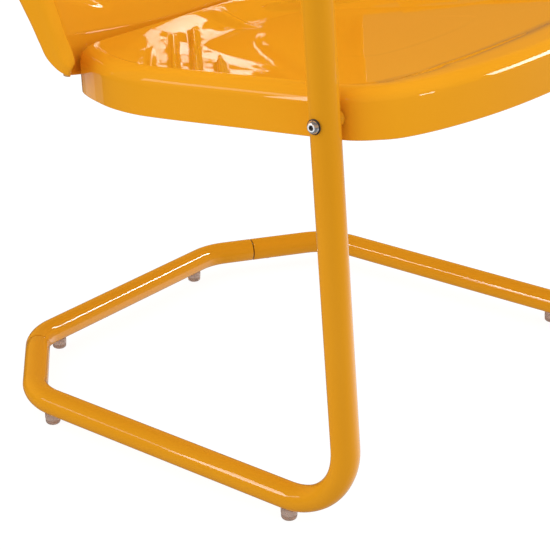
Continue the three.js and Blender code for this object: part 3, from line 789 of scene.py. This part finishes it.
field = []
centre = np.array([0.0, -10.0])
inset24 = outline - out_n * 24
for rho in np.concatenate([np.linspace(0, 0.42, 13)[:-1], np.linspace(0.42, 1, 92)]):
    xy = centre + (inset24 - centre) * rho
    edge = polyline_distance(xy[:, 0], xy[:, 1], border_poly) if rho > 0.65 else np.full(len(xy), 60.0)
    field.append(seat_ring(xy, seat_drop(xy[:, 0], xy[:, 1], edge)))
for d in (22.4, 21.0, 19.7, 18.5, 17.5, 16.6, 15.8):
    xy = outline - out_n * d
    edge = np.full(len(xy), max(0.0, d - BORDER))
    drop = seat_drop(xy[:, 0], xy[:, 1], edge)
    field.append(seat_ring(xy, drop * smooth((d - 14.6) / 5.0)))
field = np.array(field)
field[..., 2] = soften(field[..., 2], 2)
field[..., 2] = SEAT_H - with_ribs(field[..., 0], field[..., 1], SEAT_H - field[..., 2])
field[..., 2] = soften(field[..., 2], 1)
rows = list(field)
# the roll is tighter along the front
roll = lerp(SEAT_ROLL, 11.0, smooth((-outline[:, 1] - 110) / 70))
for deg in (5, 13, 21, 29, 37, 45, 53, 61, 69, 77, 84, 90):
    d = roll * (1 - math.sin(rad(deg)))
    w = roll * (1 - math.cos(rad(deg)))
    xy = outline - out_n * (d + SEAT_DRAFT * (SEAT_H - w) / SEAT_H)[:, None]
    rows.append(seat_ring(xy, w))
for w in (17, 20, 23.5, 27, 30.5, 34, 37, 39.5, 41, 41.6):
    xy = outline - out_n * (SEAT_DRAFT * (SEAT_H - w) / SEAT_H)
    rows.append(seat_ring(xy, np.full(len(xy), w)))
rows = np.array(rows)
ca, sa = math.cos(SEAT_RAKE), math.sin(SEAT_RAKE)
world = np.stack([rows[..., 0], rows[..., 1] * ca + rows[..., 2] * sa, SEAT_BOTTOM_Z - rows[..., 1] * sa + rows[..., 2] * ca], -1)
ob = pressed("seat_pressing", world, SHEET, PAINT)
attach(ob, "upper")
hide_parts("seat_pan")


# --------------------------------------------------------------------- back
BACK_HALF, BACK_TOP_Z, BACK_SHOULDER_Z, BACK_ROLL = 237.0, 857.0, 670.0, 7.0


def table(points):
    pts = np.array(points, float)
    n = len(pts)
    m = np.array([(pts[min(n - 1, i + 1), 1] - pts[max(0, i - 1), 1]) / (pts[min(n - 1, i + 1), 0] - pts[max(0, i - 1), 0]) for i in range(n)])

    def read(x):
        x = np.asarray(x, float)
        i = np.clip(np.searchsorted(pts[:, 0], x, side="right") - 1, 0, n - 2)
        h = pts[i + 1, 0] - pts[i, 0]
        t = (x - pts[i, 0]) / h
        tc = np.clip(t, 0, 1)
        y = ((2 * tc ** 3 - 3 * tc ** 2 + 1) * pts[i, 1] + (tc ** 3 - 2 * tc ** 2 + tc) * h * m[i]
             + (-2 * tc ** 3 + 3 * tc ** 2) * pts[i + 1, 1] + (tc ** 3 - tc ** 2) * h * m[i + 1])
        return y + np.where(t < 0, t * h * m[i], 0) + np.where(t > 1, (t - 1) * h * m[i + 1], 0)
    return read


face_y = table([(350, 207.6), (360, 211.5), (372, 216.3), (385, 221.4), (410, 231.6), (450, 248.8), (480, 261.8), (520, 280.2),
                (560, 299.4), (610, 324.4), (650, 345.5), (700, 373.2), (750, 401), (800, 428), (857, 457)])
flange_y = table([(352, 161), (357, 171), (365, 182.8), (373.5, 189.1), (385, 196), (398.8, 204.2), (415.5, 215.4), (450, 236.5),
                  (480, 254.5), (520, 278.5), (560, 302), (610, 331), (650, 353.8), (700, 382.3), (750, 409.8), (800, 436.2), (857, 464.5)])
SKIRT_SLOPE = math.tan(SEAT_RAKE)


def crease_z(x):
    return 360 + 0.00036 * x * x


def skirt_z(x):
    return 324 + 23 * (np.abs(x) / 220) ** 4


def curl(x, z):
    return lerp(65, 50, smooth((z - 400) / 260)) * np.minimum(1, np.abs(x) / BACK_HALF) ** 8


def back_y(x, z):
    zc = crease_z(x)
    return np.where(z >= zc, face_y(z), face_y(zc) + (z - zc) * SKIRT_SLOPE) - curl(x, z)


def by(x, z):
    return float(back_y(np.float64(x), np.float64(z)))


def back_stations():
    out = []
    for x in (0, 55, 100, 135, 165, 190, 210):
        z = float(crease_z(x))
        zs = float(skirt_z(x))
        out.append(dict(c=(x, by(x, z), z), r=(x, by(x, z - 6), z - 6), e=(x, by(x, zs), zs), f=(x * 0.93, z + 12)))
    rim = lambda x, z: (x, by(x, z) - 6, z)
    out.append(dict(c=(219, 178, 372), r=(220.5, 176.5, 365), e=(220, 175.5, 347), f=(202, 388.5)))
    out.append(dict(c=(225.5, 167, 367), r=(227, 166, 361), e=(227, 167, 350.2), f=(207, 390.5)))
    out.append(dict(c=(229, 157, 365), r=(232.3, 158, 359.5), e=(232.3, 161.5, 352.6), f=(210.5, 393)))
    out.append(dict(c=(230, 157.2, 370), r=(236, 163, 364), e=(236.6, 169, 356.4), f=(213, 396.5)))
    out.append(dict(c=(230, 160.5, 378), r=(237, 168.5, 373), e=(237, 182.8, 365), f=(215, 401.5)))
    for zc, ze in ((388, 379), (402, 394), (420, 414), (450, 446), (485, 483), (525, 524), (565, 565), (608, 608), (645, 645)):
        c = rim(230, zc)
        out.append(dict(c=c, r=(237, c[1] + BACK_ROLL, zc), e=(237, float(flange_y(ze)), ze), f=(216, zc + 20 * float(smooth((470 - zc) / 100)))))
    N = 2.5
    for deg in (6, 17, 28, 39, 50, 61, 72, 82, 90):
        w = rad(deg)
        x = 0.0 if deg == 90 else BACK_HALF * math.cos(w) ** (2 / N)
        z = BACK_SHOULDER_Z + (BACK_TOP_Z - BACK_SHOULDER_Z) * math.sin(w) ** (2 / N)
        nx = max(0, x / BACK_HALF) ** (N - 1) / BACK_HALF
        nz = ((z - BACK_SHOULDER_Z) / (BACK_TOP_Z - BACK_SHOULDER_Z)) ** (N - 1) / (BACK_TOP_Z - BACK_SHOULDER_Z)
        q = math.hypot(nx, nz)
        ox, oz = nx / q, nz / q
        c = rim(x - 7 * ox, z - 7 * oz)
        r = (x, c[1] + BACK_ROLL, z - 3 * oz)
        ey = max(float(flange_y(z)), r[1] + 12)
        drop = (ey - r[1]) * 0.5 * oz
        out.append(dict(c=c, r=r, e=(x, ey, z - 3 * oz - drop), f=(x - 21 * ox, z - 21 * oz)))
    return out


half_st = back_stations()
flip3 = lambda p: (-p[0], *p[1:])
stations = half_st + [dict(c=flip3(t["c"]), r=flip3(t["r"]), e=flip3(t["e"]), f=flip3(t["f"])) for t in half_st[1:-1][::-1]]
C = np.array([t["c"] for t in stations], float)
Rr = np.array([t["r"] for t in stations], float)
E = np.array([t["e"] for t in stations], float)
F = np.array([t["f"] for t in stations], float)
par = chord_params(Rr, 0.75)
N_BACK = 600
probe = np.linspace(0, par[-1], 6001)
dense = closed_spline(Rr, par, probe[:-1])
cum = np.concatenate([[0], np.cumsum(np.linalg.norm(np.roll(dense, -1, 0) - dense, axis=1))])
tt = np.interp(np.linspace(0, cum[-1], N_BACK + 1)[:-1], cum, probe)
C2, R2, E2, F2 = (closed_spline(a, par, tt) for a in (C, Rr, E, F))

# sunburst of flutes that open out from the bottom middle
FOCUS_Z = 345.0
FLUTE_DEG = [21, 35, 49, 63, 77, 90, 103, 117, 131, 145, 159]


def back_press(x, z):
    """How far the face is pressed back, in mm."""
    dz = z - FOCUS_Z
    r = np.hypot(x, dz)
    a = np.degrees(np.arctan2(dz, x))
    # distance to the rim along the ray, roughly
    out = np.zeros_like(x)
    for deg in FLUTE_DEG:
        d = np.abs(a - deg)
        across = r * np.sin(np.radians(np.minimum(d, 89)))
        u, v = math.cos(rad(deg)), math.sin(rad(deg))
        # the ray's length to the rim
        L = 1e9
        if abs(u) > 1e-6:
            L = min(L, 209 / abs(u))
        L = min(L, (826 - FOCUS_Z) / max(v, 1e-6))
        # the arch cuts the corners
        for _ in range(40):
            xx, zz = abs(u) * L, FOCUS_Z + v * L
            if zz > BACK_SHOULDER_Z and (xx / 212) ** 2.5 + ((zz - BACK_SHOULDER_Z) / 160) ** 2.5 > 1:
                L *= 0.985
            else:
                break
        w = 7.0 + 11.0 * np.clip((r - 110) / 360, 0, 1)
        along = smooth((r - 112) / 26) * smooth((L - 4 - r) / 16)
        end = np.minimum(np.sqrt(np.clip((r - 104) / 20, 0, 1)), np.sqrt(np.clip((L - r) / 18, 0, 1)))
        prof = 0.5 + 0.5 * np.cos(np.pi * np.clip(across / np.maximum(w * end, 1e-3), 0, 1))
        out = np.maximum(out, 4.2 * prof * along)
    return out


rows = []
CZ = 590.0
for rho in np.linspace(0, 1, 84):
    x = F2[:, 0] * rho
    z = lerp(CZ, F2[:, 1], rho)
    rows.append(np.stack([x, back_y(x, z) + back_press(x, z), z], 1))
F3 = rows[-1]
F_prev = rows[-2]


def catmull(points, ts):
    """Smooth curve through control rows; points is (m, n, 3), read at parameters from 0 to m - 1."""
    p = np.asarray(points)
    m = len(p)
    # centripetal spacing, averaged over the columns so that rows stay together
    d = np.sqrt(np.linalg.norm(np.diff(p, axis=0), axis=2))
    k = np.concatenate([np.zeros((1, p.shape[1])), np.cumsum(d, 0)])
    tan = np.empty_like(p)
    for i in range(m):
        if i == 0:
            tan[i] = (p[1] - p[0]) / (k[1] - k[0])[:, None]
        elif i == m - 1:
            tan[i] = (p[-1] - p[-2]) / (k[-1] - k[-2])[:, None]
        else:
            h0, h1 = (k[i] - k[i - 1])[:, None], (k[i + 1] - k[i])[:, None]
            tan[i] = ((p[i] - p[i - 1]) / h0 * h1 + (p[i + 1] - p[i]) / h1 * h0) / (h0 + h1)
    out = []
    for t in ts:
        i = min(int(t), m - 2)
        f = t - i
        h = (k[i + 1] - k[i])[:, None]
        out.append((2 * f ** 3 - 3 * f ** 2 + 1) * p[i] + (f ** 3 - 2 * f ** 2 + f) * h * tan[i]
                   + (-2 * f ** 3 + 3 * f ** 2) * p[i + 1] + (f ** 3 - f ** 2) * h * tan[i + 1])
    return out


# face border, dip before the rim, crest, roll, side, free edge
side_w = smooth((C2[:, 2] - 372) / 22)[:, None]
mid = (C2 + R2) / 2
outw = R2 - E2
outw = outw / np.linalg.norm(outw, axis=1, keepdims=True)
M2 = mid + outw * 1.6 * side_w
q = 0.55
near = F3 + (C2 - F3) * q
yface = back_y(near[:, 0], near[:, 2]) - 6 * smooth(np.full(len(near), q)) * smooth((C2[:, 2] - 380) / 30)
near[:, 1] = lerp(near[:, 1], yface, side_w[:, 0])
inner_control = F3 + (F3 - F_prev)
ctrl = np.array([F_prev, F3, near, C2, M2, R2, (R2 + E2) / 2, E2])
ts = list(np.linspace(1, 2, 5)[1:]) + list(np.linspace(2, 3, 6)[1:]) + list(np.linspace(3, 4, 5)[1:]) + list(np.linspace(4, 5, 5)[1:]) \
    + list(np.linspace(5, 6, 5)[1:]) + list(np.linspace(6, 7, 5)[1:])
rows += catmull(ctrl, ts)
ob = pressed("back_pressing", np.array(rows), SHEET, PAINT)
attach(ob, "upper")
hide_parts("back_panel")

BACK_BOLT_Z = 343.0
for i, x in enumerate((-110.0, 0.0, 110.0)):
    tag = ("left", "middle", "right")[i]
    skirt = by(x, BACK_BOLT_Z)
    button_bolt(f"back_button_bolt_{tag}", (x, skirt + SHEET + 0.9, BACK_BOLT_Z), (0, -1, 0), 18, "upper", f"back_bolt_{tag}")
    lock_nut(f"back_lock_nut_{tag}", (x, skirt - 5.4, BACK_BOLT_Z), (0, -1, 0), "upper", f"back_nut_{tag}")


# ------------------------------------------------------- floor and lights
def floor_material():
    """White to the camera and a little dimmer as a source of light."""
    m, nt, bsdf = new_material("floor_sweep")
    n = noise(nt, 2.0, 2.0)
    nt.links.new(ramp(nt, n, [(0.3, (0.20, 0.20, 0.20)), (0.7, (0.22, 0.22, 0.22))]), bsdf.inputs["Base Color"])
    bsdf.inputs["Roughness"].default_value = 0.9
    bsdf.inputs["Specular IOR Level"].default_value = 0.0
    bsdf.inputs["Emission Color"].default_value = (1, 1, 1, 1)
    path = nt.nodes.new("ShaderNodeLightPath")
    nt.links.new(span(nt, path.outputs["Is Camera Ray"], FLOOR_GLOW, 0.90, 0.0, 1.0), bsdf.inputs["Emission Strength"])
    return m


FLOOR_GLOW = 0.56


n = 96
ang = 2 * np.pi * np.arange(n) / n
ringpts = [(9.0 * math.cos(a), 9.0 * math.sin(a), 0.0) for a in ang]
me = bpy.data.meshes.new("floor")
me.from_pydata([(0, 0, 0)] + ringpts, [], [(0, 1 + i, 1 + (i + 1) % n) for i in range(n)])
floor = bpy.data.objects.new("floor", me)
me.materials.append(floor_material())
scene.collection.objects.link(floor)
floor.visible_glossy = False

world = bpy.data.worlds.new("studio")
scene.world = world
world.use_nodes = True


def studio_world(nt):
    """A white tent for the diffuse light, a little brighter from both sides. Glossy rays see a dim warm room instead, so that
    the enamel shows only the softboxes."""
    nt.nodes.clear()
    out = nt.nodes.new("ShaderNodeOutputWorld")
    tc = nt.nodes.new("ShaderNodeTexCoord")

    def dot(v):
        d = nt.nodes.new("ShaderNodeVectorMath")
        d.operation = "DOT_PRODUCT"
        nt.links.new(tc.outputs["Generated"], d.inputs[0])
        d.inputs[1].default_value = v
        return d.outputs["Value"]

    def math_node(op, a, b):
        m = nt.nodes.new("ShaderNodeMath")
        m.operation = op
        for i, v in enumerate((a, b)):
            if isinstance(v, (int, float)):
                m.inputs[i].default_value = v
            else:
                nt.links.new(v, m.inputs[i])
        return m.outputs[0]

    def background(colour, strength):
        bg = nt.nodes.new("ShaderNodeBackground")
        bg.inputs["Color"].default_value = (*colour, 1)
        if isinstance(strength, float):
            bg.inputs["Strength"].default_value = strength
        else:
            nt.links.new(strength, bg.inputs["Strength"])
        return bg.outputs[0]

    across = dot((math.sin(rad(TENT_AZ)), math.cos(rad(TENT_AZ)), 0))
    tent = background((1.0, 1.0, 1.0), math_node("ADD", TENT_LOW, math_node("MULTIPLY", TENT_SIDE, math_node("MULTIPLY", across, across))))
    up = span(nt, dot((0, 0, 1)), 0.0, 1.0, -0.05, 0.05)
    high = span(nt, dot((0, 0, 1)), 1.0, 0.15, 0.45, 0.75)
    toward = span(nt, dot((0.80, 0.60, 0)), 0.70, 1.0, -0.1, 0.5)
    warm = background((0.80, 0.375, 0.08), math_node("MULTIPLY", ROOM, math_node("MULTIPLY", math_node("MULTIPLY", up, high), toward)))
    pale = ramp(nt, span(nt, dot((math.sin(rad(108)), math.cos(rad(108)), 0)), 0.0, 1.0, -1.0, 1.0),
                [(0.0, (0.03,) * 3), (0.55, (0.05,) * 3), (0.66, (0.12,) * 3), (0.76, (0.17,) * 3), (0.90, (0.45,) * 3), (1.0, (0.75,) * 3)])
    below = span(nt, dot((0, 0, 1)), 2.2, 0.30, -0.36, -0.24)
    low = background((1.0, 1.0, 1.0), math_node("MULTIPLY", below, math_node("SUBTRACT", 1.0, up)))
    nt.links.new(pale, low.node.inputs["Color"])
    both = nt.nodes.new("ShaderNodeAddShader")
    nt.links.new(warm, both.inputs[0])
    nt.links.new(low, both.inputs[1])
    room = both.outputs[0]
    path = nt.nodes.new("ShaderNodeLightPath")
    mix = nt.nodes.new("ShaderNodeMixShader")
    nt.links.new(path.outputs["Is Glossy Ray"], mix.inputs[0])
    nt.links.new(tent, mix.inputs[1])
    nt.links.new(room, mix.inputs[2])
    nt.links.new(mix.outputs[0], out.inputs["Surface"])


TENT_AZ, TENT_LOW, TENT_SIDE, ROOM = -40.0, 0.74, 0.62, 0.75
studio_world(world.node_tree)


def softbox(name, centre, az, el, distance, size, radiance, diffuse=False):
    """Area light seen from centre at an azimuth (0 is +Y, 90 is +X) and an elevation; size is (width, height) in degrees."""
    a, e = rad(az), rad(el)
    at = Vector(centre) + Vector((math.sin(a) * math.cos(e), math.cos(a) * math.cos(e), math.sin(e))) * distance
    li = bpy.data.lights.new(name, "AREA")
    li.shape = "RECTANGLE"
    li.size, li.size_y = (2 * distance * math.tan(rad(d) / 2) for d in size)
    li.energy = radiance * math.pi * li.size * li.size_y
    ob = bpy.data.objects.new(name, li)
    scene.collection.objects.link(ob)
    ob.location = at
    ob.rotation_mode = "QUATERNION"
    ob.rotation_quaternion = (Vector(centre) - at).to_track_quat("-Z", "Y")
    ob.visible_diffuse = diffuse
    ob.visible_camera = False
    ob.visible_transmission = False
    return ob


def fill(name, az, el, distance, size, strength, *names):
    """Big soft light without a reflection."""
    ob = softbox(name, (0, 0.02, 0.4), az, el, distance, size, strength, diffuse=True)
    ob.visible_glossy = False
    only_for(ob, *names)


def only_for(light, *names):
    """Limits a softbox to some pieces."""
    group = bpy.data.collections.new(light.name + "_receivers")
    for o in scene.objects:
        if o.type == "MESH" and o.name.startswith(names):
            group.objects.link(o)
    light.light_linking.receiver_collection = group


softbox("strip_rear_left", (-0.25, -0.15, 0.03), -58, 22, 1.6, (12, 20), 6.0)
only_for(softbox("box_right_high", (0.02, 0.105, 0.40), 97.5, 39.2, 2.4, (16, 4.2), 11.0), "back_pressing")
only_for(softbox("box_right_mid", (0.0, 0.100, 0.39), 110.2, 34.0, 2.4, (6.4, 4.6), 11.0), "back_pressing")
only_for(softbox("strip_front", (0.0, -0.33, 0.37), 133, 13.5, 2.4, (26, 14), 11.0), "seat_pressing")
only_for(softbox("dash_front", (-0.2, -0.31, 0.37), 171, 3, 2.4, (9, 5), 10.0), "seat_pressing")
only_for(softbox("strip_far_left", (0.255, -0.05, 0.03), -59.5, 22.3, 2.4, (26, 4.5), 14.0), "side_tube_right")
only_for(softbox("glow_rear_left", (-0.25, 0.0, 0.03), -54, 20, 1.6, (36, 7), 2.2), "side_tube_left")
fill("top_fill", 178, 66, 2.2, (50, 50), 1.2, "seat_pressing", "back_pressing")
fill("side_fill", -95, 12, 2.2, (50, 40), 0.75, "seat_pressing", "back_pressing")
only_for(softbox("box_right_low", (0.06, 0.098, 0.38), 115.5, 28.8, 3.0, (8, 5), 15.0), "back_pressing")
only_for(softbox("strip_front_right", (-0.1, 0.18, 0.03), 121, 33, 2.4, (22, 4.5), 30.0), "rear_crossbar_tube", "side_tube")
only_for(softbox("glow_seat_left", (-0.23, -0.05, 0.38), -44, 17.5, 2.0, (18, 9), 2.0), "seat_pressing")
only_for(softbox("corner_low", (-0.225, 0.03, 0.36), 15, -17, 1.0, (22, 9), 0.22), "seat_pressing")
only_for(softbox("corner_low_core", (-0.225, 0.03, 0.36), 13, -17, 1.1, (12, 5), 0.25), "seat_pressing")
only_for(softbox("bolt_box", (-0.285, -0.257, 0.37), -56, -10, 0.9, (80, 60), 1.0), "seat_button_bolt", "arm_rear_button_bolt", "arm_front_button_bolt")
fill("leg_fill_left", -38, 6, 2.2, (40, 40), 0.95, "side_tube", "rear_crossbar_tube")
fill("leg_fill_right", 142, 6, 2.2, (40, 40), 0.95, "side_tube", "rear_crossbar_tube")

scene.view_settings.view_transform = "Standard"
scene.view_settings.look = "None"
scene.view_settings.exposure = 0.0
scene.view_settings.gamma = 1.0
